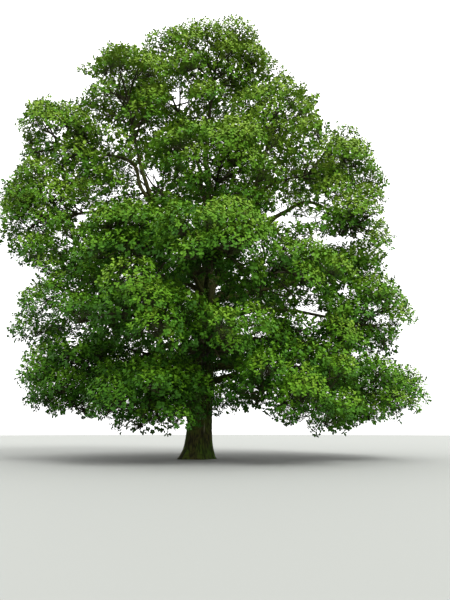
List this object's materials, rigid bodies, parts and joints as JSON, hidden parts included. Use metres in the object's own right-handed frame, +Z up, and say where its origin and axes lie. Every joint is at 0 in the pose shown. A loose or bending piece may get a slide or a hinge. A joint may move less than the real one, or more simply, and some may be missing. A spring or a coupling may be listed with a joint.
{
  "type": "oak tree",
  "caption": "Mature open-grown oak in full leaf: thick flared trunk, forked leaders, long side boughs and a domed crown of leaf masses down to near the ground.",
  "frame": {"origin": "middle of the flat cut under the trunk, at ground level", "axes": "+Z up the trunk, -Y towards the side that the picture is taken from, +X to the right seen from there"},
  "size_m": [23.3251, 20.9444, 25.6149],
  "materials": {
    "bark": "rough, furrowed bark",
    "leaves": "soft satin leaves"
  },
  "bodies": {
    "root": {"trunk": "bark", "left_leader": "bark", "centre_leader": "bark", "right_leader": "bark", "top_back_bough": "bark", "high_left_bough": "bark", "high_right_bough": "bark", "high_front_bough": "bark", "high_back_left_bough": "bark", "high_back_right_bough": "bark", "far_left_bough": "bark", "right_arch_bough": "bark", "middle_right_bough": "bark", "right_tip_bough": "bark", "left_bough": "bark", "middle_front_left_bough": "bark", "middle_front_bough": "bark", "middle_front_right_bough": "bark", "middle_back_right_bough": "bark", "middle_back_bough": "bark", "middle_back_left_bough": "bark", "lower_front_left_bough": "bark", "lower_front_right_bough": "bark", "low_left_bough": "bark", "low_front_left_bough": "bark", "low_front_right_bough": "bark", "low_right_bough": "bark", "low_back_right_bough": "bark", "low_back_left_bough": "bark", "crown_top_foliage": "leaves", "top_left_foliage": "leaves", "top_right_foliage": "leaves", "top_back_foliage": "leaves", "high_left_foliage": "leaves", "high_right_foliage": "leaves", "high_front_foliage": "leaves", "high_back_left_foliage": "leaves", "high_back_right_foliage": "leaves", "far_left_foliage": "leaves", "right_arch_foliage": "leaves", "middle_right_foliage": "leaves", "right_tip_foliage": "leaves", "left_foliage": "leaves", "middle_front_left_foliage": "leaves", "middle_front_foliage": "leaves", "middle_front_right_foliage": "leaves", "middle_back_right_foliage": "leaves", "middle_back_foliage": "leaves", "middle_back_left_foliage": "leaves", "lower_front_left_foliage": "leaves", "lower_front_right_foliage": "leaves", "low_front_foliage": "leaves", "low_left_foliage": "leaves", "low_front_left_foliage": "leaves", "low_front_right_foliage": "leaves", "low_right_foliage": "leaves", "low_back_right_foliage": "leaves", "low_back_foliage": "leaves", "low_back_left_foliage": "leaves"}
  },
  "joints": []
}
